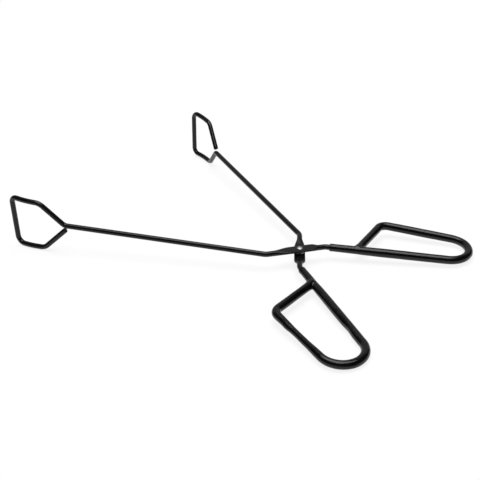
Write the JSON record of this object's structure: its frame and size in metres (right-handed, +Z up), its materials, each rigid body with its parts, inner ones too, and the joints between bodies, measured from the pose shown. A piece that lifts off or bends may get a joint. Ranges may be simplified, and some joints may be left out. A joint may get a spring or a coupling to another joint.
{
  "type": "scissor tongs",
  "caption": "Long scissor tongs of bent round steel rod: upright open wire jaws, a single rivet pivot and closed, vinyl-dipped finger loops.",
  "frame": {"origin": "middle of the whole at rest, on the table that the tongs lie on", "axes": "+X towards the jaws along the middle line between the two arms, +Y towards the upper arm's jaw, +Z up from the table. The rivet's axis leans 3.7 degrees back from +Z, because the jaws hold their end of the tongs up."},
  "size_m": [0.4745, 0.327, 0.0708],
  "materials": {
    "black_paint": "satin black paint on drawn steel rod",
    "black_vinyl": "dipped soft vinyl, satin, slightly uneven",
    "bright_rivet": "bright zinc-plated steel, satin",
    "washer_steel": "dull zinc-plated steel",
    "weld_steel": "rough as-welded steel"
  },
  "bodies": {
    "upper_half": {"upper_arm": "black_paint", "upper_weld": "weld_steel", "upper_grip": "black_vinyl", "pivot_rivet": "bright_rivet", "spacer_washer": "washer_steel"},
    "lower_half": {"lower_arm": "black_paint", "lower_weld": "weld_steel", "lower_grip": "black_vinyl"}
  },
  "joints": [
    {"name": "rivet_pivot", "type": "hinge", "parent": "upper_half", "child": "lower_half", "pos_m": [-0.0776, 0, 0.01582], "axis": [-0.0651, -0.0077, 0.9979], "range_deg": [-45, 53.4]}
  ]
}
